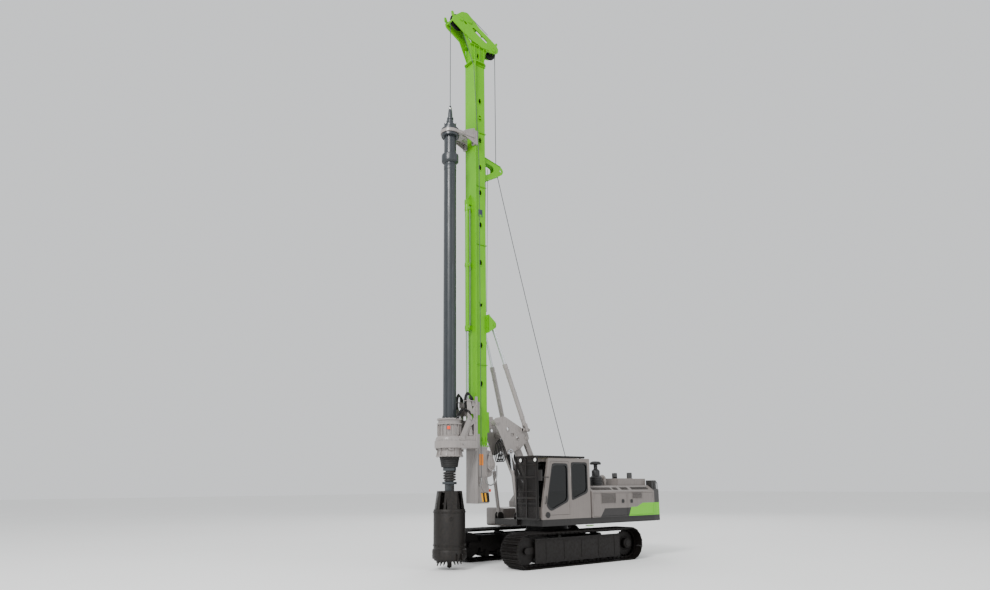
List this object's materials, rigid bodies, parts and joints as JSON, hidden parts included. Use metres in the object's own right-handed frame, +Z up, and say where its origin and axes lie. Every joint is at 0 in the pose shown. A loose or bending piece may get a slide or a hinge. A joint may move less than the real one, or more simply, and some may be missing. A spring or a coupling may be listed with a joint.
{
  "type": "rotary piling rig",
  "caption": "Tracked rotary piling rig with a hinged tall mast, sliding rotary drive, telescopic kelly bar and drilling bucket.",
  "frame": {"origin": "ground level, in the middle of the machine's length and width with the mast upright", "axes": "+X forwards to the mast and bucket, +Y to the machine's left where the cab is, +Z up along the mast"},
  "size_m": [7.66, 3.32, 17.1],
  "materials": {
    "undercarriage_paint": "satin dark brown paint",
    "track_steel": "dark oxidised steel",
    "cab_glass": "dark tinted",
    "green_paint": "gloss lime green paint",
    "kelly_paint": "satin blue-grey paint",
    "bucket_steel": "dull dark brown-grey paint",
    "chrome_rod": "polished",
    "cast_iron": "dull",
    "counterweight_iron": "painted dark grey with a lime band",
    "black_paint": "satin black paint",
    "seat_cloth": "woven",
    "console_plastic": "matte",
    "house_paint": "satin warm grey paint",
    "grey_paint": "satin light grey paint"
  },
  "bodies": {
    "undercarriage": {"car_body": "undercarriage_paint", "slewing_ring": "cast_iron", "track_frame_left": "undercarriage_paint", "track_frame_right": "undercarriage_paint", "track_left": "track_steel", "track_right": "track_steel", "sprocket_left": "undercarriage_paint", "sprocket_right": "undercarriage_paint"},
    "upperstructure": {"turntable_deck": "black_paint", "counterweight": "counterweight_iron", "hood_shell": "house_paint", "engine_block": "cast_iron", "air_cleaner": "black_paint", "fuel_tank": "house_paint", "tool_box": "house_paint", "winch_frame": "grey_paint", "cab_shell": "house_paint", "left_pane": "cab_glass", "right_pane": "cab_glass", "rear_pane": "cab_glass", "windscreen": "cab_glass", "seat": "seat_cloth", "console": "console_plastic", "cab_guard": "black_paint", "mirror": "black_paint"},
    "cab_door": {"cab_door": "house_paint", "door_pane": "cab_glass"},
    "hood_door_front_left": {"hood_door_front_left": "house_paint"},
    "hood_door_rear_left": {"hood_door_rear_left": "house_paint"},
    "hood_door_rear_right": {"hood_door_rear_right": "house_paint"},
    "main_drum": {"main_drum": "grey_paint"},
    "aux_drum": {"aux_drum": "grey_paint"},
    "boom": {"boom_arms": "grey_paint"},
    "links": {"rear_links": "grey_paint"},
    "triangle": {"triangle_frame": "grey_paint"},
    "luff_barrel_left": {"luff_barrel_left": "grey_paint"},
    "luff_barrel_right": {"luff_barrel_right": "grey_paint"},
    "luff_rod_left": {"luff_rod_left": "chrome_rod"},
    "luff_rod_right": {"luff_rod_right": "chrome_rod"},
    "cardan_left": {"cardan_block_left": "grey_paint"},
    "cardan_right": {"cardan_block_right": "grey_paint"},
    "mast_barrel_left": {"mast_barrel_left": "grey_paint"},
    "mast_barrel_right": {"mast_barrel_right": "grey_paint"},
    "mast_rod_left": {"mast_rod_left": "chrome_rod"},
    "mast_rod_right": {"mast_rod_right": "chrome_rod"},
    "cross_head": {"cross_head": "grey_paint"},
    "mast": {"mast_lower": "grey_paint", "mast_main": "green_paint", "mast_head": "green_paint", "crowd_barrel": "green_paint"},
    "main_sheave": {"main_sheave": "cast_iron"},
    "aux_sheave": {"aux_sheave": "cast_iron"},
    "rear_sheave": {"rear_sheave": "cast_iron"},
    "drive": {"rotary_drive": "grey_paint", "crowd_rod": "chrome_rod"},
    "guide": {"kelly_guide": "grey_paint"},
    "kelly": {"kelly_bar": "kelly_paint", "bucket_body": "bucket_steel"},
    "bucket_floor": {"bucket_floor": "bucket_steel"}
  },
  "joints": [
    {"name": "slew", "type": "hinge", "parent": "undercarriage", "child": "upperstructure", "pos_m": [-0.23, 0, 1.03], "axis": [0, 0, 1], "continuous": true},
    {"name": "cab_door_hinge", "type": "hinge", "parent": "upperstructure", "child": "cab_door", "pos_m": [0.25, 1.5262, 1.27], "axis": [0, 0, 1], "range_deg": [0, 165]},
    {"name": "hood_door_front_left_hinge", "type": "hinge", "parent": "upperstructure", "child": "hood_door_front_left", "pos_m": [-0.72, 1.5462, 1.27], "axis": [0, 0, -1], "range_deg": [0, 100]},
    {"name": "hood_door_rear_left_hinge", "type": "hinge", "parent": "upperstructure", "child": "hood_door_rear_left", "pos_m": [-3.38, 1.5462, 1.27], "axis": [0, 0, 1], "range_deg": [0, 100]},
    {"name": "hood_door_rear_right_hinge", "type": "hinge", "parent": "upperstructure", "child": "hood_door_rear_right", "pos_m": [-3.38, -1.5462, 1.27], "axis": [0, 0, -1], "range_deg": [0, 100]},
    {"name": "main_drum_spin", "type": "hinge", "parent": "upperstructure", "child": "main_drum", "pos_m": [-1.5, 0, 1.8], "axis": [0, 1, 0], "continuous": true},
    {"name": "aux_drum_spin", "type": "hinge", "parent": "upperstructure", "child": "aux_drum", "pos_m": [-0.85, 0, 1.72], "axis": [0, 1, 0], "continuous": true},
    {"name": "luff", "type": "hinge", "parent": "upperstructure", "child": "boom", "pos_m": [0.32, 0, 1.6], "axis": [0, 1, 0], "range_deg": [-12, 12]},
    {"name": "rear_link_foot", "type": "hinge", "parent": "upperstructure", "child": "links", "pos_m": [0, 0, 1.87], "axis": [0, 1, 0], "range_deg": [-12.5, 12.5]},
    {"name": "boom_head", "type": "hinge", "parent": "boom", "child": "triangle", "pos_m": [1.17, 0, 3.35], "axis": [0, 1, 0], "range_deg": [-12.5, 12.5]},
    {"name": "luff_cylinder_foot_left", "type": "hinge", "parent": "upperstructure", "child": "luff_barrel_left", "pos_m": [1.27, 0.445, 1.36], "axis": [0, 1, 0], "range_deg": [-12.5, 12.5]},
    {"name": "luff_rod_slide_left", "type": "slide", "parent": "luff_barrel_left", "child": "luff_rod_left", "axis": [0.1367, 0, 0.9906], "range_m": [-0.13, 0.13]},
    {"name": "luff_cylinder_foot_right", "type": "hinge", "parent": "upperstructure", "child": "luff_barrel_right", "pos_m": [1.27, -0.445, 1.36], "axis": [0, 1, 0], "range_deg": [-12.5, 12.5]},
    {"name": "luff_rod_slide_right", "type": "slide", "parent": "luff_barrel_right", "child": "luff_rod_right", "axis": [0.1367, 0, 0.9906], "range_m": [-0.13, 0.13]},
    {"name": "mast_rake", "type": "hinge", "parent": "triangle", "child": "cross_head", "pos_m": [1.96, 0, 4.04], "axis": [0, 1, 0], "range_deg": [-15, 5]},
    {"name": "mast_tilt", "type": "hinge", "parent": "cross_head", "child": "mast", "pos_m": [2.1, 0, 4.04], "axis": [1, 0, 0], "range_deg": [-4, 4]},
    {"name": "cardan_tilt_left", "type": "hinge", "parent": "triangle", "child": "cardan_left", "pos_m": [0.96, 0.5, 3.85], "axis": [1, 0, 0], "range_deg": [-4.5, 4.5]},
    {"name": "mast_cylinder_foot_left", "type": "hinge", "parent": "cardan_left", "child": "mast_barrel_left", "pos_m": [0.96, 0.5, 3.85], "axis": [0, 1, 0], "range_deg": [-13.5, 5]},
    {"name": "mast_rod_slide_left", "type": "slide", "parent": "mast_barrel_left", "child": "mast_rod_left", "axis": [0.3085, -0.0916, 0.9468], "range_m": [-0.26, 0.1]},
    {"name": "cardan_tilt_right", "type": "hinge", "parent": "triangle", "child": "cardan_right", "pos_m": [0.96, -0.5, 3.85], "axis": [1, 0, 0], "range_deg": [-4.5, 4.5]},
    {"name": "mast_cylinder_foot_right", "type": "hinge", "parent": "cardan_right", "child": "mast_barrel_right", "pos_m": [0.96, -0.5, 3.85], "axis": [0, 1, 0], "range_deg": [-13.5, 5]},
    {"name": "mast_rod_slide_right", "type": "slide", "parent": "mast_barrel_right", "child": "mast_rod_right", "axis": [0.3085, 0.0916, 0.9468], "range_m": [-0.26, 0.1]},
    {"name": "main_sheave_spin", "type": "hinge", "parent": "mast", "child": "main_sheave", "pos_m": [3.1, 0, 16.78], "axis": [0, 1, 0], "continuous": true},
    {"name": "aux_sheave_spin", "type": "hinge", "parent": "mast", "child": "aux_sheave", "pos_m": [2.75, 0.135, 16.83], "axis": [0, 1, 0], "continuous": true},
    {"name": "rear_sheave_spin", "type": "hinge", "parent": "mast", "child": "rear_sheave", "pos_m": [1.82, 0, 16.2], "axis": [0, 1, 0], "continuous": true},
    {"name": "crowd", "type": "slide", "parent": "mast", "child": "drive", "axis": [0, 0, 1], "range_m": [-1.4, 2]},
    {"name": "kelly_hoist", "type": "slide", "parent": "drive", "child": "guide", "axis": [0, 0, 1], "range_m": [-7.7, 0]},
    {"name": "kelly_spin", "type": "hinge", "parent": "guide", "child": "kelly", "pos_m": [3.36, 0, 2.09], "axis": [0, 0, 1], "continuous": true},
    {"name": "bucket_floor_hinge", "type": "hinge", "parent": "kelly", "child": "bucket_floor", "pos_m": [3.36, 0.505, 0.2644], "axis": [1, 0, 0], "range_deg": [0, 80]}
  ],
  "couplings": [
    {"joint": "rear_link_foot", "follows": "luff", "ratio": 1},
    {"joint": "boom_head", "follows": "luff", "ratio": -1},
    {"joint": "luff_cylinder_foot_left", "follows": "luff", "ratio": 1},
    {"joint": "luff_rod_slide_left", "follows": "luff", "m_per_rad": -0.59},
    {"joint": "cardan_tilt_left", "follows": "mast_tilt", "ratio": 0.94},
    {"joint": "mast_cylinder_foot_left", "follows": "mast_rake", "ratio": 0.874},
    {"joint": "mast_rod_slide_left", "follows": "mast_rake", "m_per_rad": 0.939},
    {"joint": "luff_cylinder_foot_right", "follows": "luff", "ratio": 1},
    {"joint": "luff_rod_slide_right", "follows": "luff", "m_per_rad": -0.59},
    {"joint": "cardan_tilt_right", "follows": "mast_tilt", "ratio": 0.94},
    {"joint": "mast_cylinder_foot_right", "follows": "mast_rake", "ratio": 0.874},
    {"joint": "mast_rod_slide_right", "follows": "mast_rake", "m_per_rad": 0.939}
  ]
}
